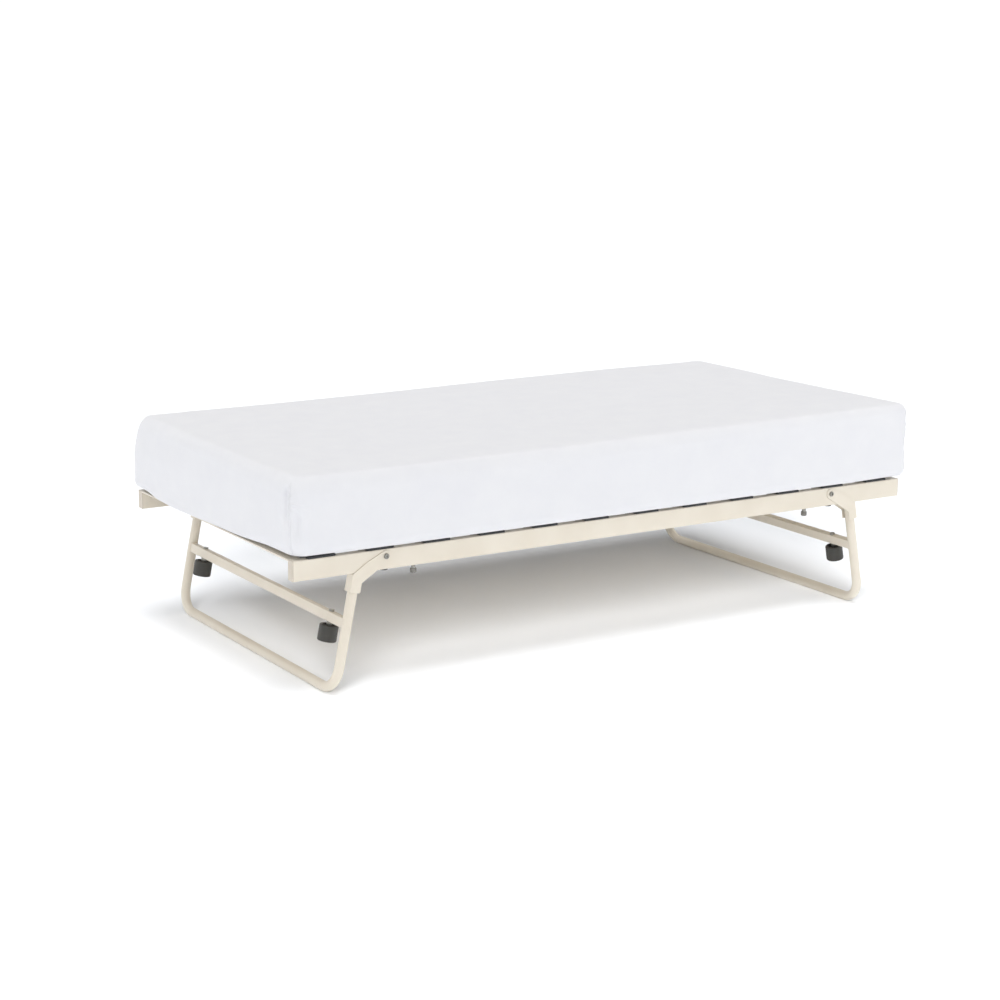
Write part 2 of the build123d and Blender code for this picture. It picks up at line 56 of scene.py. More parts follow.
# ---- shader helpers ---------------------------------------------------------------------
class Shader:
    """A material under construction, with short names for the nodes that recur."""

    def __init__(self, name, **sockets):
        self.material = bpy.data.materials.new(name)
        self.material.use_nodes = True
        self.tree = self.material.node_tree
        self.bsdf = self.tree.nodes["Principled BSDF"]
        for key, value in sockets.items():
            self.bsdf.inputs[key.replace("_", " ")].default_value = value
        self.place = self.node("ShaderNodeTexCoord").outputs["Object"]
        self.normal = self.node("ShaderNodeTexCoord").outputs["Normal"]

    def node(self, kind, **settings):
        """A new node with the given settings."""
        made = self.tree.nodes.new(kind)
        for key, value in settings.items():
            setattr(made, key, value)
        return made

    def link(self, out, socket):
        self.tree.links.new(out, socket)

    def feed(self, socket, value):
        """Link a socket to another node's output, or set its value."""
        if hasattr(value, "is_output"):
            self.link(value, socket)
        else:
            socket.default_value = value

    def maths(self, operation, a, b=0.0):
        made = self.node("ShaderNodeMath", operation=operation)
        for socket, value in zip(made.inputs, (a, b)):
            self.feed(socket, value)
        return made.outputs[0]

    def noise(self, scale, detail=2.0, rough=0.5, stretch=(1, 1, 1)):
        """Cloudy noise with so many features to the metre, fewer along a stretch below 1."""
        mapping = self.node("ShaderNodeMapping")
        mapping.inputs["Scale"].default_value = stretch
        self.link(self.place, mapping.inputs["Vector"])
        made = self.node("ShaderNodeTexNoise")
        made.inputs["Scale"].default_value = scale
        made.inputs["Detail"].default_value = detail
        made.inputs["Roughness"].default_value = rough
        self.link(mapping.outputs[0], made.inputs["Vector"])
        return made.outputs["Fac"]

    def cells(self, scale):
        """Distance to the nearest of randomly placed points."""
        made = self.node("ShaderNodeTexVoronoi")
        made.inputs["Scale"].default_value = scale
        self.link(self.place, made.inputs["Vector"])
        return made.outputs["Distance"]

    def between(self, value, start, stop):
        """0 up to start, 1 from stop."""
        return self.ramp(value, 0.0, 1.0, start, stop)

    def ramp(self, value, low, high, start, stop):
        """From low at start to high at stop."""
        made = self.node("ShaderNodeMapRange", clamp=True)
        for socket, number in zip(made.inputs, (value, start, stop, low, high)):
            self.feed(socket, number)
        return made.outputs[0]

    def mix(self, amount, a, b):
        """Colour a where the amount is 0, and b where it is 1."""
        made = self.node("ShaderNodeMix", data_type="RGBA")
        self.feed(made.inputs[0], amount)
        self.feed(made.inputs[6], a)
        self.feed(made.inputs[7], b)
        return made.outputs[2]

    def axes(self, source=None):
        """The x, y and z of a place, or of another source."""
        made = self.node("ShaderNodeSeparateXYZ")
        self.link(source or self.place, made.inputs[0])
        return made.outputs

    def bump(self, layers):
        """Stack of (height, strength, distance in metres)."""
        last = None
        for height, strength, distance in layers:
            made = self.node("ShaderNodeBump")
            made.inputs["Strength"].default_value = strength
            made.inputs["Distance"].default_value = distance
            self.link(height, made.inputs["Height"])
            if last is not None:
                self.link(last, made.inputs["Normal"])
            last = made.outputs[0]
        self.link(last, self.bsdf.inputs["Normal"])

    def colour(self, value):
        self.link(value, self.bsdf.inputs["Base Color"])

    def roughness(self, value):
        self.link(value, self.bsdf.inputs["Roughness"])


def linear(r, g, b):
    """Colour as seen, 0 to 255, in scene values."""
    seen = [v / 255 for v in (r, g, b)]
    return [v / 12.92 if v <= 0.04045 else ((v + 0.055) / 1.055) ** 2.4 for v in seen] + [1.0]


def edge_mask(s, width):
    """1 on edges, 0 elsewhere, from how a rounded normal leaves the true one."""
    soft = s.node("ShaderNodeBevel", samples=4)
    soft.inputs["Radius"].default_value = width
    flat = s.node("ShaderNodeNewGeometry").outputs["Normal"]
    dot = s.node("ShaderNodeVectorMath", operation="DOT_PRODUCT")
    s.link(soft.outputs[0], dot.inputs[0])
    s.link(flat, dot.inputs[1])
    return s.ramp(dot.outputs["Value"], 1.0, 0.0, 0.80, 0.98)


# ---- materials --------------------------------------------------------------------------
def powder_coat(name, seen, shade):
    """Stone-coloured powder coat: fine orange peel, soft sheen, thinner on the edges."""
    s = Shader(name, Roughness=0.42, Coat_Weight=0.15, Coat_Roughness=0.25)
    cloud = s.noise(9.0, 3.0)
    speck = s.noise(900.0, 1.0)
    base = s.mix(s.between(cloud, 0.35, 0.65), linear(*seen), linear(*shade))
    worn = s.maths("MULTIPLY", edge_mask(s, 0.0012), s.between(s.noise(60.0, 4.0), 0.5, 0.7))
    base = s.mix(s.maths("MULTIPLY", worn, 0.45), base, linear(206, 196, 180))
    s.colour(base)
    s.roughness(s.ramp(cloud, 0.36, 0.48, 0.3, 0.7))
    s.bump([(s.noise(1100.0, 2.0), 0.10, 0.00012), (speck, 0.05, 0.00008)])
    return s.material


def moulded_plastic(name, seen, shade, rough, grain=1500.0):
    """Injection-moulded plastic with a spark-eroded grain and light scuffs."""
    s = Shader(name, Roughness=rough)
    scuff = s.between(s.noise(45.0, 6.0, 0.65, (1, 1, 5)), 0.54, 0.72)
    base = s.mix(s.between(s.noise(20.0, 2.0), 0.3, 0.7), linear(*seen), linear(*shade))
    paler = linear(*[min(255, v + 26) for v in seen])
    base = s.mix(s.maths("MULTIPLY", scuff, 0.35), base, paler)
    s.colour(s.mix(s.maths("MULTIPLY", edge_mask(s, 0.0008), 0.3), base, paler))
    s.roughness(s.ramp(scuff, rough, rough + 0.16, 0.0, 1.0))
    s.bump([(s.cells(grain), 0.18, 0.00008), (scuff, 0.05, 0.0001)])
    return s.material


def buffer_rubber():
    """Matt rubber with bloom."""
    s = Shader("buffer_elastomer", Roughness=0.75)
    bloom = s.between(s.noise(160.0, 4.0), 0.4, 0.7)
    s.colour(s.mix(bloom, linear(112, 110, 105), linear(134, 132, 127)))
    s.bump([(s.noise(1400.0, 2.0), 0.2, 0.0001)])
    return s.material


def zinc():
    """Zinc plate: small crystalline patches and yellowish stains, unevenly polished."""
    s = Shader("zinc_plate", Metallic=1.0, Roughness=0.34)
    patch = s.cells(420.0)
    base = s.mix(s.between(patch, 0.1, 0.7), linear(176, 172, 160), linear(140, 141, 139))
    s.colour(s.mix(s.ramp(s.noise(120.0, 3.0), 0.0, 0.5, 0.45, 0.7), base,
                   linear(128, 119, 102)))
    s.roughness(s.ramp(s.noise(260.0, 4.0), 0.24, 0.46, 0.3, 0.7))
    s.bump([(s.noise(1800.0, 2.0, 0.5, (1, 1, 0.2)), 0.12, 0.00006)])
    return s.material


def slat_ply():
    """Birch ply under thin lacquer: grain along the slat, plies showing on the edges."""
    s = Shader("slat_birch_ply", Roughness=0.45, Coat_Weight=0.3, Coat_Roughness=0.3)
    grain = s.noise(55.0, 6.0, 0.62, (1.0, 0.045, 1.0))
    fine = s.noise(420.0, 3.0, 0.6, (1.0, 0.03, 1.0))
    fleck = s.between(s.noise(300.0, 2.0, 0.5, (1.0, 0.08, 1.0)), 0.62, 0.70)
    face = s.mix(s.between(grain, 0.32, 0.68), linear(228, 210, 180), linear(212, 190, 156))
    face = s.mix(s.maths("MULTIPLY", fleck, 0.35), face, linear(168, 132, 90))
    ply = s.maths("FRACT", s.maths("MULTIPLY", s.axes()[2], 1 / 0.0026))
    ply = s.between(ply, 0.46, 0.54)
    edge = s.mix(ply, linear(196, 160, 112), linear(150, 112, 74))
    up = s.maths("ABSOLUTE", s.axes(s.normal)[2])
    s.colour(s.mix(s.between(up, 0.35, 0.6), edge, face))
    s.bump([(grain, 0.12, 0.0003), (fine, 0.15, 0.00015)])
    return s.material


def cotton(name, seen, shade, thread, sheen, weave_strength):
    """Plain-woven cotton, its threads laid along whichever way the cloth faces."""
    s = Shader(name, Roughness=0.88, Sheen_Weight=sheen, Sheen_Roughness=0.5,
               Specular_IOR_Level=0.25)
    slub = s.noise(14.0, 5.0, 0.6)
    fuzz = s.noise(1300.0, 3.0, 0.6)
    base = s.mix(s.between(slub, 0.3, 0.7), linear(*seen), linear(*shade))
    s.colour(s.mix(s.ramp(fuzz, 0.0, 0.06, 0.3, 0.8), base, linear(*[v - 34 for v in shade])))
    wave = {}
    for axis, socket in zip("xyz", s.axes()):
        wave[axis] = s.maths("SINE", s.maths("MULTIPLY", socket, 2 * pi / thread))
    faces = [s.maths("ABSOLUTE", socket) for socket in s.axes(s.normal)]
    total = 0.0
    for first, second, facing in (("y", "z", 0), ("x", "z", 1), ("x", "y", 2)):
        cross = s.maths("MULTIPLY", wave[first], wave[second])
        total = s.maths("ADD", s.maths("MULTIPLY", cross, faces[facing]), total)
    s.bump([(total, weave_strength, thread * 0.12), (fuzz, 0.25, 0.00012),
            (s.noise(36.0, 3.0), 0.12, 0.0012)])
    return s.material


def thread_white():
    """Twisted sewing thread."""
    s = Shader("sewing_thread", Roughness=0.7, Sheen_Weight=0.3)
    twist = s.noise(2200.0, 1.0, 0.5, (1, 1, 0.4))
    s.colour(s.mix(s.between(twist, 0.35, 0.65), linear(236, 236, 238), linear(214, 214, 218)))
    s.bump([(twist, 0.4, 0.0001)])
    return s.material


def weld_paint():
    """Powder coat over a weld bead: the coat pools, so it is smoother."""
    s = Shader("powder_coat_weld", Roughness=0.36)
    cloud = s.noise(70.0, 3.0)
    s.colour(s.mix(s.between(cloud, 0.3, 0.7), linear(223, 214, 201), linear(213, 203, 188)))
    s.bump([(s.noise(700.0, 2.0), 0.2, 0.0002)])
    return s.material


PAINT = powder_coat("powder_coat_stone", (221, 213, 198), (216, 207, 191))
CAP = moulded_plastic("cap_stone_plastic", (200, 191, 177), (194, 184, 169), 0.42, 1200.0)
BLACK = moulded_plastic("holder_black_plastic", (44, 45, 48), (36, 37, 40), 0.46)
ROLLER = moulded_plastic("roller_polymer", (54, 53, 49), (62, 60, 55), 0.50, 900.0)
RUBBER = buffer_rubber()
ZINC = zinc()
PLY = slat_ply()
SHEET = cotton("cotton_percale_white", (224, 224, 226), (221, 221, 224), 0.0011, 0.05, 0.35)
TICKING = cotton("ticking_damask_white", (232, 230, 226), (222, 220, 214), 0.0024, 0.10, 0.6)
THREAD = thread_white()
WELD = weld_paint()

LOOKS = {"side_rail": PAINT, "end_rail": PAINT, "leg_tube": PAINT, "crossbar": PAINT,
         "leg_bracket": PAINT, "rail_cap": CAP, "slat_holders": BLACK, "hole_plugs": BLACK,
         "slat_0": PLY, "slat_1": PLY, "stop_buffers": RUBBER, "pivot_": ZINC,
         "stop_screws": ZINC, "roller_bolts": ZINC, "roller_spacers": ZINC,
         "roller_nuts": ZINC, "roller_left": ROLLER, "roller_right": ROLLER}


def dress(node):
    """Give a CAD node its procedural material."""
    for start, look in LOOKS.items():
        if node.name.startswith(start):
            node.data.materials.clear()
            node.data.materials.append(look)


for cad_node in NODES.values():
    dress(cad_node)


# ---- mesh helpers -----------------------------------------------------------------------
def mesh_object(name, points, faces, look):
    """A new smooth object from points and faces."""
    mesh = bpy.data.meshes.new(name)
    mesh.from_pydata([tuple(map(float, p)) for p in points], [], faces)
    mesh.update()
    made = bpy.data.objects.new(name, mesh)
    bpy.context.scene.collection.objects.link(made)
    mesh.materials.append(look)
    for polygon in mesh.polygons:
        polygon.use_smooth = True
    return made


def positions(thing):
    """Vertex positions of an object as an array."""
    flat = np.zeros(len(thing.data.vertices) * 3)
    thing.data.vertices.foreach_get("co", flat)
    return flat.reshape(-1, 3)


def tube(path, widths, normal_hint, sides=8, closed=False, flatten=1.0):
    """Points and faces of a tube along a path, with a half width for every point.
    Its flattened side faces the way of the hint."""
    path = np.asarray(path, float)
    count = len(path)
    if closed:
        ahead = np.roll(path, -1, 0) - np.roll(path, 1, 0)
    else:
        ahead = np.gradient(path, axis=0)
    ahead /= np.linalg.norm(ahead, axis=1)[:, None]
    hint = np.asarray(normal_hint, float) * np.ones((count, 3))
    across = np.cross(ahead, hint)
    across /= np.linalg.norm(across, axis=1)[:, None]
    up = np.cross(across, ahead)
    points, faces = [], []
    for i in range(count):
        for k in range(sides):
            angle = 2 * pi * k / sides
            offset = across[i] * cos(angle) + up[i] * sin(angle) * flatten
            points.append(path[i] + offset * widths[i])
    last = count if closed else count - 1
    for i in range(last):
        j = (i + 1) % count
        for k in range(sides):
            m = (k + 1) % sides
            faces.append((i * sides + k, i * sides + m, j * sides + m, j * sides + k))
    if not closed:
        faces.append(tuple(range(sides))[::-1])
        faces.append(tuple((count - 1) * sides + k for k in range(sides)))
    return points, faces


def merged(parts):
    """Several (points, faces) as one."""
    points, faces = [], []
    for some_points, some_faces in parts:
        start = len(points)
        points.extend(some_points)
        faces.extend(tuple(i + start for i in face) for face in some_faces)
    return points, faces


# ---- mattress and fitted sheet ----------------------------------------------------------
FULL_X, FULL_Y = 5 * MM, 7 * MM    # drawn fuller: START_IN and the simulation take most back
HALF_X = (SHEET_HIGH.x - SHEET_LOW.x) / 2 + FULL_X
HALF_Y = (SHEET_HIGH.y - SHEET_LOW.y) / 2 + FULL_Y
LOW_Z, HIGH_Z = SHEET_LOW.z, SHEET_HIGH.z

# One value for each of CORNERS: right near, right far, left far and left near.
CORNER_RS = (36 * MM, 38 * MM, 42 * MM, 62 * MM)   # plan radii
TOP_ROLLS = (26 * MM, 15 * MM, 27 * MM, 46 * MM)   # rounding of the upper edge
LOW_ROLLS = (34 * MM, 26 * MM, 24 * MM, 50 * MM)   # rounding of the lower edge
FOLD_DEPTHS = (0.4, 0.4, 0.3, 1.1)                 # how deep the sheet's folds are
SEAM_OFFS = (0, 0, 0, -18 * MM)                    # the last seam lies a little on the end
GATHER_SIDES = (1, -1, 1, 1)                       # which side of the seam is gathered

FAR_LEFT_SLACK = 17 * MM   # the upper edge's further rounding at that corner
LOW_ROLL = 27 * MM         # rounding of the lower edge along the sides
LOW_ROLL_END = 9 * MM      # and along the ends
CORNER_FULL = 20 * MM      # a corner's own rounding holds this far from its middle
CORNER_REACH = 190 * MM    # and has given way to the side's by here
END_REACH = 140 * MM       # or this much further along on an end
END_SAG = 8.5 * MM         # how far the sheet hangs down past the ends of the frame
RIGHT_RISE = 10 * MM       # the mattress is a little fuller to the right
NEAR_RISE = 5 * MM         # and there, to the near side
FOOT_OUT = 8 * MM          # its right end stands out a little at the bottom
SHOULDER_IN = 18 * MM      # and the top of its far left corner leans in

SWELL = 3.5 * MM           # most of the simulation's swelling that is kept
SWELL_FRAMES = 20
NEIGHBOURS, SOFTENING = 7, 4 * MM    # swelling is averaged over this many nearest points
START_IN = 3 * MM          # the pad starts this much smaller
PAD_INSET = START_IN + 3.2 * MM    # the ticking lies this far inside the drawn outline
RING_INSET = 34 * MM       # structured rings reach this far in from the side
FILL_SPACING = 15 * MM     # of the triangles inside the rings
HEM_INSET = 90 * MM        # how far in under the mattress the elastic hem lies
HEM_R = 50 * MM            # plan radius of the hem's corners
SEAM_TOP = HIGH_Z - 16 * MM    # the corner seams run down from here
FRAME_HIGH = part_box("rail_cap_right_far")[1]
FRAME_HALF_X, FRAME_HALF_Y = FRAME_HIGH.x + 2 * MM, FRAME_HIGH.y
PAST_FRAME = 0.4 * MM      # from this far past it the cloth may hang lower
HANG_ROOM = 12 * MM        # and this much lower


def ease(value, start, stop):
    """Smooth step from 0 at start to 1 at stop."""
    t = np.clip((value - start) / (stop - start), 0, 1)
    return t * t * (3 - 2 * t)


def hump(value, start, full, fading, stop):
    """0 before start, 1 from full to fading, and 0 again after stop."""
    return ease(value, start, full) * (1 - ease(value, fading, stop))


def bell(distance, width):
    """1 where the distance is 0, falling smoothly to nothing over about two widths."""
    return np.exp(-(distance / width) ** 2)


def waves(points, size, seed):
    """Smooth random field, mostly from -1 to 1, with features of about the given size."""
    rng = np.random.default_rng(seed)
    total = np.zeros(len(points))
    for _ in range(12):
        way = rng.normal(size=3)
        way /= np.linalg.norm(way)
        rate = 2 * pi / (size * rng.uniform(0.8, 1.7))
        total += np.sin(points @ way * rate + rng.uniform(0, 2 * pi))
    return total / 5.0


CORNER_STATIONS = 41                # round each quarter circle
FINE_STEP, COARSE_STEP = 2.2 * MM, 11 * MM    # between stations, by a corner and far from it
STEP_GROWTH = 1.06


def around():
    """Stations round the sheet: point, outward way, distance to the nearest corner's middle,
    and that corner.  They stand closer together towards the corners."""
    stations = []
    for number, (cx, cy) in enumerate(CORNERS):
        radius, next_radius = CORNER_RS[number], CORNER_RS[(number + 1) % 4]
        centre = np.array([cx * (HALF_X - radius), cy * (HALF_Y - radius)])
        start = -pi / 2 + number * pi / 2
        for angle in np.linspace(start, start + pi / 2, CORNER_STATIONS):
            way = np.array([cos(angle), sin(angle)])
            off = (angle - start - pi / 4) * radius
            stations.append((centre + way * radius, way, off, number))
        way = np.array([cos(start + pi / 2), sin(start + pi / 2)])
        along = np.array([-way[1], way[0]])
        length = 2 * (HALF_Y if number % 2 == 0 else HALF_X) - radius - next_radius
        grid = [0.0]
        step = FINE_STEP
        while grid[-1] < length / 2:
            grid.append(grid[-1] + step)
            step = min(step * STEP_GROWTH, COARSE_STEP)
        half = np.array(grid[1:]) * (length / 2 / grid[-1])
        first = centre + way * radius
        for run in list(half) + list(length - half[-2::-1]):
            near_next = run > length / 2
            off = (run - length - next_radius * pi / 4 if near_next
                   else run + radius * pi / 4)
            corner = (number + 1) % 4 if near_next else number
            stations.append((first + along * run, way, off, corner))
    return stations


def radii(place, off, corner, at_end):
    """Rounding of the mattress's upper and lower edges at a station."""
    x, y = place
    corner_weight = 1 - ease(abs(off), CORNER_FULL, CORNER_REACH + END_REACH * at_end)
    right, far = ease(x, -0.6, 0.9), ease(y, -0.44, 0.44)
    near_top = TOP_ROLLS[3] + (TOP_ROLLS[0] - TOP_ROLLS[3]) * right
    far_top = TOP_ROLLS[2] + (TOP_ROLLS[1] - TOP_ROLLS[2]) * right
    low = LOW_ROLL + (LOW_ROLL_END - LOW_ROLL) * at_end
    far_top += FAR_LEFT_SLACK * corner_weight * (corner == 2)
    return (near_top + (far_top - near_top) * far,
            low + (LOW_ROLLS[corner] - low) * corner_weight)


TOP_ROWS, UPPER_ROWS, SIDE_ROWS, LOWER_ROWS, UNDER_ROWS = 5, 13, 50, 11, 4


def profile(top_roll, low_roll, pad_inset, sag=0.0, sag_end=0.0):
    """(inset, height) from the ring on top, over the side, to the ring underneath.
    The lower edge sags, back to level at the inset sag_end."""
    top, low = top_roll - pad_inset, low_roll - pad_inset
    high_z, low_z = HIGH_Z - pad_inset, LOW_Z + pad_inset
    room = RING_INSET - 2 * MM - pad_inset
    top_in, low_in = min(top, room), min(low, room)
    rows = []
    for t in np.linspace(0, 1, TOP_ROWS)[:-1]:
        rows.append((RING_INSET + (top_in - RING_INSET + pad_inset) * t, high_z))
    for angle in np.linspace(0, pi / 2, UPPER_ROWS):
        rows.append((pad_inset + top_in * (1 - sin(angle)), high_z - top * (1 - cos(angle))))
    for t in np.linspace(0, 1, SIDE_ROWS)[1:-1]:
        rows.append((pad_inset, high_z - top + (low_z + low - high_z + top) * t))
    for angle in np.linspace(0, pi / 2, LOWER_ROWS):
        rows.append((pad_inset + low_in * (1 - cos(angle)), low_z + low * (1 - sin(angle))))
    for t in np.linspace(0, 1, UNDER_ROWS)[1:]:
        rows.append((pad_inset + low_in + (RING_INSET - pad_inset - low_in) * t, low_z))
    if sag:
        return [(inset, z - sag * (1 - ease(inset, sag_end * 0.55, sag_end)) * (
            1 - ease(z, LOW_Z, LOW_Z + 70 * MM))) for inset, z in rows]
    return rows


def fill(ring, spacing, hole):
    """Triangles inside a ring of plan points, and outside a hole if there is one."""
    ring = [tuple(p) for p in ring]
    count = len(ring)
    edges = [(i, (i + 1) % count) for i in range(count)]
    points = list(ring)
    if hole is not None:
        start = len(points)
        points += [tuple(p) for p in hole]
        size = len(hole)
        edges += [(start + i, start + (i + 1) % size) for i in range(size)]
    lows, highs = np.min(ring, 0), np.max(ring, 0)
    hx, hy = HALF_X - HEM_INSET, HALF_Y - HEM_INSET
    row_height = spacing * 0.87      # of triangles with even sides
    for row, y in enumerate(np.arange(lows[1] + spacing * 0.7, highs[1], row_height)):
        for x in np.arange(lows[0] + spacing * (0.5 + 0.5 * (row % 2)), highs[0], spacing):
            gap_x, gap_y = highs[0] - abs(x), highs[1] - abs(y)
            if min(gap_x, gap_y) < spacing * 0.6 or gap_x + gap_y < 3 * spacing:
                continue
            if hole is not None and abs(x) < hx + spacing * 0.5 and abs(y) < hy + spacing * 0.5:
                continue
            points.append((x, y))
    made, _, faces, origin, _, _ = delaunay_2d_cdt([Vector(p) for p in points], edges, [], 1,
                                                   1e-6)
    kept = []
    for face in faces:
        middle = sum((made[i] for i in face), Vector((0, 0))) / len(face)
        if hole is None or abs(middle.x) > hx or abs(middle.y) > hy or in_notch(middle, hx, hy):
            kept.append(tuple(face))
    sources = [min(o) if o else None for o in origin]
    return np.array([tuple(p) for p in made]), kept, sources


def in_notch(point, hx, hy):
    """Whether a point lies in the hem's rounded corner, where there is cloth."""
    dx, dy = abs(point.x) - (hx - HEM_R), abs(point.y) - (hy - HEM_R)
    return dx > 0 and dy > 0 and dx * dx + dy * dy > HEM_R * HEM_R


def hem_ring():
    """Plan outline of the sheet's hem underneath."""
    ring = []
    for number, (cx, cy) in enumerate(CORNERS):
        centre = (cx * (HALF_X - HEM_INSET - HEM_R), cy * (HALF_Y - HEM_INSET - HEM_R))
        start = -pi / 2 + number * pi / 2
        for angle in np.linspace(start, start + pi / 2, 13):
            ring.append((centre[0] + HEM_R * cos(angle), centre[1] + HEM_R * sin(angle)))
    full = []
    for here, there in zip(ring, ring[1:] + ring[:1]):
        here, there = np.array(here), np.array(there)
        steps = max(1, int(np.linalg.norm(there - here) / (9 * MM)))
        full += [here + (there - here) * k / steps for k in range(steps)]
    return np.array(full)


def sagging(place, at_end):
    """How far the sheet's lower edge sags at a station, and how far in it does."""
    y = place[1]
    if at_end > 0.999:
        reach = hump(y, -0.19, 0.20, 0.30, 0.40)
        return END_SAG * (0.7 + 0.3 * ease(y, 0.0, 0.25)) * reach, FULL_X + 10.0 * MM
    return 0.0, 0.0


def risen(points):
    """The mattress's upper part drawn fuller towards its right end, and its far left
    shoulder rounded in.  The places are in metres from the bed's middle."""
    x, y, z = points.T
    up = np.clip((z - LOW_Z) / (HIGH_Z - LOW_Z), 0, 1)
    points[:, 0] += FOOT_OUT * ease(x, 0.90, 0.955) * (1 - up)
    points[:, 0] += SHOULDER_IN * (1 - ease(x, -0.97, -0.80)) * ease(y, -0.2, 0.46) * ease(
        up, 0.45, 1.0)
    rise = RIGHT_RISE * ease(x, -0.75, 0.75)
    rise += NEAR_RISE * ease(x, 0.3, 0.9) * (1 - ease(y, -0.45, 0.2))
    points[:, 2] += rise * up ** 2
    return points


def mattress_surface(pad_inset, open_below):
    """Mesh of the mattress's outside.  Returns points, faces, and for every point how far
    along the seam's way it lies from its corner, and which corner."""
    stations = around()
    columns = len(stations)
    points, faces, offs, corners = [], [], [], []
    for place, way, off, corner in stations:
        at_end = abs(way[0])
        top, low = radii(place, off, corner, at_end)
        sag, sag_end = sagging(place, at_end) if open_below else (0.0, 0.0)
        for inset, z in profile(top, low, pad_inset, sag, sag_end):
            points.append((*(place - way * inset), z))
            offs.append(off)
            corners.append(corner)
    rows = len(points) // columns
    for i in range(columns):
        j = (i + 1) % columns
        for k in range(rows - 1):
            faces.append((i * rows + k, i * rows + k + 1, j * rows + k + 1, j * rows + k))
    for row, z, hole in ((0, HIGH_Z - pad_inset, None),
                         (rows - 1, LOW_Z + pad_inset, hem_ring() if open_below else None)):
        ring = np.array([points[i * rows + row][:2] for i in range(columns)])
        plan, triangles, sources = fill(ring, FILL_SPACING, hole)
        index = []
        for spot, source in zip(plan, sources):
            if source is not None and source < columns:
                index.append(source * rows + row)
            else:
                index.append(len(points))
                points.append((spot[0], spot[1], z))
                offs.append(1.0)
                corners.append(0)
        for triangle in triangles:
            turned = triangle if row == 0 else triangle[::-1]
            faces.append(tuple(index[t] for t in turned))
    return risen(np.array(points)), faces, np.array(offs), np.array(corners)


def outward(points, faces):
    """Unit vertex normals of a mesh."""
    mesh = bpy.data.meshes.new("scratch")
    mesh.from_pydata([tuple(p) for p in points], [], faces)
    mesh.update()
    flat = np.zeros(len(points) * 3)
    mesh.vertex_normals.foreach_get("vector", flat)
    bpy.data.meshes.remove(mesh)
    return flat.reshape(-1, 3)


def swelling():
    """Simulate the pad as cloth under pressure, and return how its surface moves."""
    points, faces, _, _ = mattress_surface(START_IN, False)
    pad = mesh_object("pad_sim", points, faces, TICKING)
    remesh = pad.modifiers.new("even", "REMESH")
    remesh.mode = "VOXEL"
    remesh.voxel_size = 16 * MM
    bpy.context.view_layer.objects.active = pad
    apply_modifiers(pad)
    start = positions(pad)
    pins = pad.vertex_groups.new(name="rests")
    pins.add([int(i) for i in np.flatnonzero(start[:, 2] < LOW_Z + 14 * MM)], 1.0, "REPLACE")
    cloth = pad.modifiers.new("cloth", "CLOTH")
    settings = cloth.settings
    settings.quality = 5
    settings.mass = 0.4
    settings.tension_stiffness = 25
    settings.compression_stiffness = 25
    settings.shear_stiffness = 12
    settings.bending_stiffness = 2.5
    settings.use_pressure = True
    settings.uniform_pressure_force = 4.0
    settings.vertex_group_mass = "rests"
    settings.effector_weights.gravity = 0
    cloth.point_cache.frame_start = 1
    cloth.point_cache.frame_end = SWELL_FRAMES
    for number in range(1, SWELL_FRAMES + 1):
        bpy.context.scene.frame_set(number)
    graph = bpy.context.evaluated_depsgraph_get()
    swollen = pad.evaluated_get(graph)
    end = np.zeros(len(start) * 3)
    swollen.data.vertices.foreach_get("co", end)
    moved = end.reshape(-1, 3) - start
    bpy.context.scene.frame_set(1)
    bpy.data.objects.remove(pad)
    size = np.linalg.norm(moved, axis=1)
    capped = SWELL * np.tanh(size / SWELL)
    moved *= (capped / np.maximum(size, 1e-9))[:, None]
    return start, moved


def apply_modifiers(thing):
    """Replace an object's mesh with the result of its modifiers."""
    graph = bpy.context.evaluated_depsgraph_get()
    made = bpy.data.meshes.new_from_object(thing.evaluated_get(graph))
    thing.modifiers.clear()
    old = thing.data
    thing.data = made
    bpy.data.meshes.remove(old)


class Settled:
    """Moves any point of the mattress's outside as the swelling moved the pad."""

    def __init__(self):
        self.start, self.moved = swelling()
        self.tree = KDTree(len(self.start))
        for i, point in enumerate(self.start):
            self.tree.insert(point, i)
        self.tree.balance()

    def __call__(self, points):
        if self.tree is None:
            return points
        shifted = np.array(points, float)
        for i, point in enumerate(points):
            total, weight = np.zeros(3), 0.0
            for _, number, distance in self.tree.find_n(point, NEIGHBOURS):
                near = 1.0 / (distance + SOFTENING) ** 2
                total += self.moved[number] * near
                weight += near
            shifted[i] += total / weight
        return shifted


# Folds at the sheet's corners.  The heights over which each kind shows go from none to
# full and from full to none again.
GATHERS_Z = (0.455, 0.485, 0.525, 0.545)
DENT_Z = (0.425, 0.465, 0.515, 0.535)
LOW_DENT_Z = (LOW_Z + 0.02, LOW_Z + 0.06, 0.44, 0.50)
FOLD_REACH = 0.12          # the folds keep this near to the corner
GATHERS = 6                # creases above one another at a corner's seam
GATHER_Z, GATHER_STEP = 0.478, 7.5 * MM    # the lowest crease, and the next above it
GATHER_HALF = 2.6 * MM     # half width of a crease
GATHER_DEPTH = 3.6 * MM
DENT_DEPTH, DENT_HALF = 9 * MM, 9 * MM     # the hollow beside the gathers
LOW_DENT_HALF = 12 * MM    # and the one below them, down to the lower edge
GROOVE_DEPTH, GROOVE_HALF = 3.2 * MM, 3 * MM    # the sheet is drawn in along the seam
PUCKER = 5.2 * MM          # the hem's puckers are this long, times 2 pi


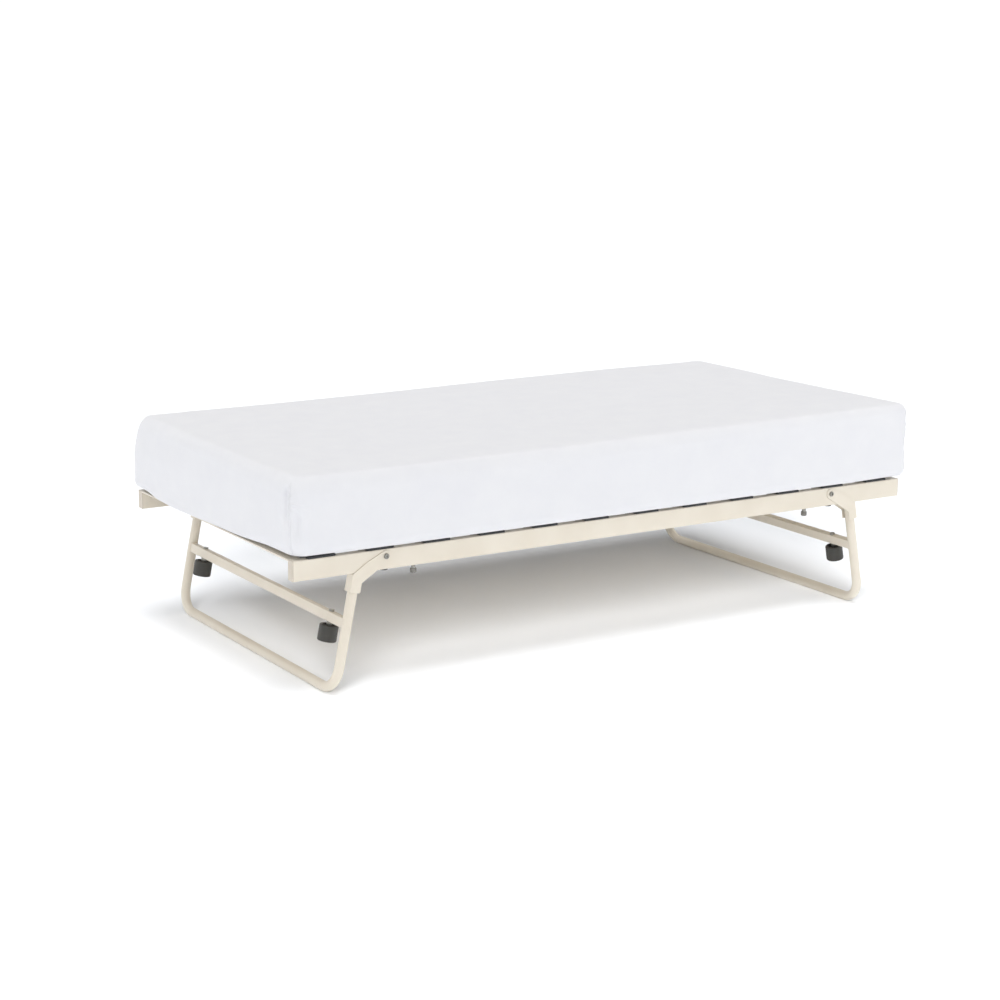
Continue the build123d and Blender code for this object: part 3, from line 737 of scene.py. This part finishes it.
def corner_folds(number, off, height):
    """How far the cloth stands out round a corner's seam, off past it: gathers across the
    seam, hollows beside and below them, a soft ridge by the lower one, and the groove."""
    rng = np.random.default_rng(40 + number)
    depth = FOLD_DEPTHS[number]
    low_part = hump(height, *LOW_DENT_Z)
    away = off * GATHER_SIDES[number]
    gather = np.zeros(len(off))
    for step in range(GATHERS):
        level = GATHER_Z + GATHER_STEP * (step + rng.uniform(-0.25, 0.25))
        slope = rng.uniform(-0.55, 0.55)
        reach = rng.uniform(9, 20) * MM
        crease = height - level - slope * away
        gather += (rng.uniform(0.8, 1.5) * bell(crease, GATHER_HALF)
                   * np.exp(-np.clip(away - 2 * MM, 0, 1) / reach)
                   * ease(away, -1 * MM, 3 * MM))
    folds = GATHER_DEPTH * depth * gather * hump(height, *GATHERS_Z)
    folds -= DENT_DEPTH * depth * bell(away + 11 * MM, DENT_HALF) * hump(height, *DENT_Z)
    from_corner = away + SEAM_OFFS[number]
    folds -= DENT_DEPTH * depth * bell(from_corner - 4 * MM, LOW_DENT_HALF) * low_part
    folds += 1.2 * MM * bell(from_corner - 24 * MM, 9 * MM) * low_part
    seam_part = 1 - ease(height, SEAM_TOP - 0.02, SEAM_TOP)
    return folds - GROOVE_DEPTH * bell(off, GROOVE_HALF) * seam_part


def hem_puckers(points):
    """How deep the cloth is puckered by the elastic, under the mattress."""
    x, y = np.abs(points[:, 0]), np.abs(points[:, 1])
    pucker = np.sin(x / PUCKER + 1.7 * waves(points, 0.06, 11)) * (y > HALF_Y - HEM_INSET)
    pucker += np.sin(y / PUCKER + 1.7 * waves(points, 0.06, 12)) * (x > HALF_X - HEM_INSET)
    inset = np.minimum(HALF_X - x, HALF_Y - y)
    return 0.9 * MM * ease(inset, 35 * MM, 85 * MM) * (1 + pucker)


def drape(points, normals, offs, corners):
    """Displacement of the sheet along its normals: slack, corner folds and puckers."""
    height = points[:, 2]
    side = 1 - ease(np.abs(normals[:, 2]), 0.35, 0.9)
    top = ease(normals[:, 2], 0.4, 0.95)
    under = ease(-normals[:, 2], 0.3, 0.9)
    off = np.abs(offs)
    lift = 0.9 * MM * waves(points, 0.34, 3) * (0.4 + 0.6 * top)
    lift += 0.45 * MM * waves(points, 0.11, 5) * side
    near_corner = 1 - ease(off, 0.0, 0.20)
    fan = np.sin((height - LOW_Z) / (13 * MM) + offs / (55 * MM) + 2.1 * waves(points, 0.15, 8))
    lift += 0.55 * MM * fan * side * near_corner * ease(off, 8 * MM, 40 * MM)
    for number in range(len(CORNERS)):
        here = (corners == number) & (off < FOLD_REACH)
        folds = corner_folds(number, offs[here] - SEAM_OFFS[number], height[here])
        lift[here] += folds * side[here]
    return lift - hem_puckers(points) * under


def finished(points, normals, offs, corners, base=0.0):
    """Where points of the cloth lie once draped: base is the height above the pad."""
    lift = drape(points, normals, offs, corners) + base
    return settled(points) + normals * lift[:, None]


settled = Settled()


def rest_on_slats(points, low):
    """Nothing sinks below what the mattress lies on, except past the frame's edges."""
    x, y, _ = points.T
    past_frame = (np.abs(x) > FRAME_HALF_X + PAST_FRAME) | (np.abs(y) > FRAME_HALF_Y + PAST_FRAME)
    floor = np.where(past_frame, low - HANG_ROOM, low)
    points[:, 2] = np.maximum(points[:, 2], floor)
    return points


def make_pad():
    """The mattress in its ticking, in view through the sheet's opening underneath."""
    points, faces, offs, corners = mattress_surface(PAD_INSET, False)
    normals = outward(points, faces)
    points = rest_on_slats(finished(points, normals, offs, corners), LOW_Z + 3 * MM)
    pad = mesh_object("mattress_in_ticking", points, faces, TICKING)
    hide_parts("mattress_core")
    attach(pad, "mattress")
    return pad


def make_sheet():
    """The fitted sheet, one layer of cotton with its four corner seams and elastic hem."""
    points, faces, offs, corners = mattress_surface(START_IN, True)
    normals = outward(points, faces)
    cloth = rest_on_slats(finished(points, normals, offs, corners), LOW_Z + 0.4 * MM)
    sheet = mesh_object("fitted_sheet_cotton", cloth, faces, SHEET)
    seams = make_seams()
    hem = make_hem()
    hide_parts("fitted_sheet")
    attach(sheet, "mattress")
    return sheet


RIDGE_HALF = 1.1 * MM      # half width of the seam's ridge
STITCHES_OFF = 3.4 * MM    # from the ridge to the row of stitches
STITCH_WIDTHS = (0.22 * MM, 0.34 * MM, 0.34 * MM, 0.22 * MM)
STITCH_SINK = 0.35 * MM    # its ends go into the cloth


def seam_path(number, along_off):
    """Points and ways out along a corner's seam, from near the top to the lower roll."""
    cx, cy = CORNERS[number]
    radius = CORNER_RS[number]
    off = SEAM_OFFS[number] + along_off
    centre = np.array([cx * (HALF_X - radius), cy * (HALF_Y - radius)])
    angle = (number - 0.5) * pi / 2 + off / radius
    way = np.array([cos(angle), sin(angle)])
    place = centre + way * radius
    rows = np.array(profile(*radii(place, off, number, abs(way[0])), START_IN))
    step = np.concatenate([[0], np.cumsum(np.linalg.norm(np.diff(rows, axis=0), axis=1))])
    fine = np.arange(0, step[-1], 1.1 * MM)
    inset = np.interp(fine, step, rows[:, 0])
    z = np.interp(fine, step, rows[:, 1])
    keep = z < SEAM_TOP
    inset, z = inset[keep], z[keep]
    points = np.column_stack([place[0] - way[0] * inset, place[1] - way[1] * inset, z])
    slope = np.gradient(np.column_stack([inset, z]), axis=0)
    slope /= np.linalg.norm(slope, axis=1)[:, None]
    normals = np.column_stack([-way[0] * slope[:, 1], -way[1] * slope[:, 1], -slope[:, 0]])
    count = len(points)
    return risen(points), normals, np.full(count, off), np.full(count, number)


def seam_line(number, along_off, height):
    """The cloth along a corner's seam, raised by a height, and its ways out."""
    points, normals, offs, corners = seam_path(number, along_off)
    line = finished(points, normals, offs, corners, height)
    line[:, 2] = np.maximum(line[:, 2], LOW_Z + 0.6 * MM)
    return line, normals


def make_seams():
    """Corner seams: a fine ridge where the cloth is joined, and a row of stitches."""
    made = []
    for number, (cx, cy) in enumerate(CORNERS):
        line, normals = seam_line(number, 0.0, 0.5 * MM)
        parts = [tube(line, np.full(len(line), RIDGE_HALF), normals, 8, False, 0.6)]
        line, normals = seam_line(number, STITCHES_OFF, 0.25 * MM)
        for start in range(0, len(line) - 4, 4):
            stitch = line[start:start + 4].copy()
            stitch[[0, -1]] -= normals[[start, start + 3]] * STITCH_SINK
            parts.append(tube(stitch, STITCH_WIDTHS, normals[start:start + 4], 6))
        name = f"sheet_seam_{'right' if cx > 0 else 'left'}_{'far' if cy > 0 else 'near'}"
        seam = mesh_object(name, *merged(parts), THREAD)
        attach(seam, "mattress")
        made.append(seam)
    return made


HEM_HALF = 3.4 * MM        # half width of the casing
HEM_RISE = 2.1 * MM        # it lies this high over the slats' holders, under the pad


def make_hem():
    """Elastic hem under the mattress: a narrow gathered casing round the opening."""
    ring = hem_ring()
    ahead = np.roll(ring, -1, 0) - ring
    run = np.concatenate([[0], np.cumsum(np.linalg.norm(ahead, axis=1))])
    length = run[-1]
    closed = np.vstack([ring, ring[:1]])
    spots = np.arange(0, length, 2.4 * MM)
    path = np.column_stack([np.interp(spots, run, closed[:, 0]),
                            np.interp(spots, run, closed[:, 1])])
    rng = np.random.default_rng(21)
    phase = np.cumsum(rng.uniform(0.7, 1.9, len(spots)))
    rise = HEM_RISE + 0.5 * MM * np.sin(phase)
    wander = 0.8 * MM * np.sin(phase * 0.63)
    line = np.column_stack([path, LOW_Z + rise])
    line[:, 0] += wander
    line[:, 1] += wander
    width = HEM_HALF * (1 + 0.16 * np.sin(phase * 1.1))
    hem = mesh_object("sheet_elastic_hem", *tube(line, width, (0, 0, 1), 8, True, 0.36),
                      SHEET)
    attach(hem, "mattress")
    return hem


make_pad()
make_sheet()


# ---- welds ------------------------------------------------------------------------------
SPLAY = radians(11.31)
LEG_TOP = (0.780, 0.305)         # leg's centre line at the rail's underside, (|x|, z)
CROSSBAR_Z = 0.179               # height of the crossbar's middle
BRACKET_END = 49.0 * MM          # how far down the leg its bracket reaches
TUBE_Y = 0.4475
TUBE_R = 12.7 * MM


def leg_point(along, out, y, end):
    """Point on a leg, measured down it from the rail's underside."""
    x = LEG_TOP[0] + along * sin(SPLAY) + out * cos(SPLAY)
    z = LEG_TOP[1] - along * cos(SPLAY) + out * sin(SPLAY)
    return end * x, y, z


def bead(path, radius, seed, closed):
    """Weld bead: a low rounded ridge with the ripples of its making."""
    rng = np.random.default_rng(seed)
    ripple = 1 + 0.16 * np.sin(np.arange(len(path)) * 1.9 + rng.uniform(0, 6))
    widths = radius * ripple * rng.uniform(0.92, 1.08, len(path))
    return tube(path, widths, (0.3, 0.2, 0.93), 8, closed)


def make_weld(name, beads, body):
    """Painted beads as one piece that rides on a body."""
    weld = mesh_object(name, *merged(beads), WELD)
    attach(weld, body)


def make_crossbar_welds():
    """Beads where each crossbar is coped round its uprights."""
    middle = (LEG_TOP[1] - CROSSBAR_Z) / cos(SPLAY)
    half_high, half_deep = 12.5 * MM, 10 * MM
    for end_name, end in ENDS.items():
        parts = []
        for side in SIDES.values():
            loop = []
            for t in np.arange(0, 1, 1 / 64):
                along, out = rectangle(t, half_high, half_deep)
                inward = sqrt(TUBE_R ** 2 - out ** 2)
                y = side * (TUBE_Y - inward - 0.2 * MM)
                loop.append(leg_point(middle + along, out, y, end))
            parts.append(bead(loop, 1.3 * MM, 60 + side, True))
        make_weld(f"crossbar_weld_{end_name}", parts, f"{end_name}_leg")


def rectangle(t, half_high, half_deep):
    """Point a fraction t of the way round a rectangle."""
    total = 4 * (half_high + half_deep)
    run = t * total
    if run < 2 * half_deep:
        return half_high, run - half_deep
    run -= 2 * half_deep
    if run < 2 * half_high:
        return half_high - run, half_deep
    run -= 2 * half_high
    if run < 2 * half_deep:
        return -half_high, half_deep - run
    return run - 2 * half_deep - half_high, -half_deep


def make_end_welds():
    """Beads under the joints between the end bars and the side rails."""
    low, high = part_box("end_rail_right")
    for end_name, end in ENDS.items():
        parts = []
        for side in SIDES.values():
            xs = np.linspace(low.x + 3 * MM, high.x - 3 * MM, 24)
            path = [(end * x, side * (high.y - 0.3 * MM), low.z - 0.3 * MM) for x in xs]
            parts.append(bead(path, 1.6 * MM, 80 + side, False))
        make_weld(f"end_bar_weld_{end_name}", parts, "bed_frame")


def make_bracket_welds():
    """Short beads where the leg tube leaves the bottom of each bracket."""
    for end_name, end in ENDS.items():
        parts = []
        for side in SIDES.values():
            for face in (-1, 1):
                path = []
                for out in np.linspace(-6 * MM, 6 * MM, 14):
                    reach = sqrt(TUBE_R ** 2 - out ** 2) + 0.5 * MM
                    path.append(leg_point(BRACKET_END, out, side * TUBE_Y + face * reach, end))
                parts.append(bead(path, 1.4 * MM, 90 + side + face, False))
        make_weld(f"bracket_weld_{end_name}", parts, f"{end_name}_leg")


make_crossbar_welds()
make_end_welds()
make_bracket_welds()


# ---- floor, light and camera ------------------------------------------------------------
def make_floor():
    """Plain pale floor, a touch cool, since the frame reflects warm light on to it."""
    half_width, tiles = 80.0, 8
    grid = np.linspace(-half_width, half_width, tiles + 1)
    points = [(x, y, 0.0) for y in grid for x in grid]
    faces = []
    for row in range(tiles):
        for column in range(tiles):
            first = row * (tiles + 1) + column
            above = first + tiles + 1
            faces.append((first, first + 1, above + 1, above))
    s = Shader("pale_floor", Roughness=0.9, Specular_IOR_Level=0.1)
    s.colour(s.mix(s.noise(3.0, 2.0), (0.935, 0.955, 0.985, 1), (0.945, 0.965, 0.995, 1)))
    floor = mesh_object("pale_floor", points, faces, s.material)
    return floor


def hang(lamp, shining, lit):
    """Put a lamp in the scene.  It reaches only one collection of pieces, and every piece
    still casts its shadow."""
    light = bpy.data.objects.new(lamp.name, lamp)
    bpy.context.scene.collection.objects.link(light)
    light.rotation_euler = shining.to_track_quat("-Z", "Y").to_euler()
    light.light_linking.receiver_collection = lit
    return light


def area_light(name, place, aim, size, power, lit):
    """Soft box aimed at a point."""
    lamp = bpy.data.lights.new(name, "AREA")
    lamp.shape = "RECTANGLE"
    lamp.size, lamp.size_y = size
    lamp.energy = power
    light = hang(lamp, Vector(aim) - Vector(place), lit)
    light.location = place


def far_light(name, source, spread, strength, lit):
    """Very large soft source far off: source is the way to it, spread its width in degrees."""
    lamp = bpy.data.lights.new(name, "SUN")
    lamp.angle = radians(spread)
    lamp.energy = pi * strength
    hang(lamp, -Vector(source), lit)


def collection_of(name, pieces):
    """Pieces gathered for a light to reach."""
    made = bpy.data.collections.new(name)
    for piece in pieces:
        made.objects.link(piece)
    return made


BAND_TOP, BAND_GONE = 0.19, 0.34    # sines of the angles where it starts to fade, and ends


def make_world(surround, horizon):
    """Dim even surround with a white band at the horizon, the background of low views."""
    world = bpy.data.worlds.new("white_studio")
    world.use_nodes = True
    tree = world.node_tree
    way = tree.nodes.new("ShaderNodeTexCoord").outputs["Generated"]
    split = tree.nodes.new("ShaderNodeSeparateXYZ")
    tree.links.new(way, split.inputs[0])
    band = tree.nodes.new("ShaderNodeMapRange")
    band.interpolation_type = "SMOOTHSTEP"
    tree.links.new(split.outputs[2], band.inputs["Value"])
    for key, number in (("From Min", BAND_TOP), ("From Max", BAND_GONE), ("To Min", horizon),
                        ("To Max", surround)):
        band.inputs[key].default_value = number
    background = tree.nodes["Background"]
    background.inputs["Color"].default_value = (1, 1, 1, 1)
    tree.links.new(band.outputs[0], background.inputs["Strength"])
    bpy.context.scene.world = world


def make_camera():
    """Camera at the left front of the bed, a little above it."""
    azimuth, elevation, roll = radians(-32.532), radians(12.566), radians(0.610)
    target = Vector((-0.0862, 0.0, 0.3187))
    distance = 5.7467
    back = Vector((sin(azimuth) * cos(elevation), -cos(azimuth) * cos(elevation),
                   sin(elevation)))
    right = Vector((cos(azimuth), sin(azimuth), 0))
    up = back.cross(right)
    turned_right = right * cos(roll) + up * sin(roll)
    turned_up = up * cos(roll) - right * sin(roll)
    data = bpy.data.cameras.new("camera")
    data.lens = 75.243
    data.sensor_width = 36.0
    data.clip_start = 0.1
    data.clip_end = 300.0
    camera = bpy.data.objects.new("camera", data)
    turn = Matrix((turned_right, turned_up, back)).transposed().to_4x4()
    camera.matrix_world = Matrix.Translation(target + back * distance) @ turn
    bpy.context.scene.collection.objects.link(camera)
    bpy.context.scene.camera = camera


FLOOR = make_floor()
make_world(surround=0.14, horizon=1.04)
BED = collection_of("lit_bed", [o for o in bpy.context.scene.objects
                                if o.type == "MESH" and o != FLOOR])
GROUND = collection_of("lit_floor", [FLOOR])
far_light("floor_key", source=(-0.492, -0.730, 0.474), spread=30, strength=0.95, lit=GROUND)
far_light("floor_top", source=(-0.03, -0.22, 1.0), spread=32, strength=0.66, lit=GROUND)
far_light("bed_dome", source=(-0.10, -0.14, 1.0), spread=120, strength=0.93, lit=BED)
area_light("key_right", place=(1.9, -2.0, 0.70), aim=(0.8, -0.45, 0.45), size=(1.2, 0.8),
           power=2.5, lit=BED)
area_light("fill_left", place=(-4.2, 1.2, 0.75), aim=(-0.9, 0.2, 0.4), size=(2.0, 1.2),
           power=2, lit=BED)
make_camera()
view = bpy.context.scene.view_settings
view.view_transform = "Standard"
view.look = "None"
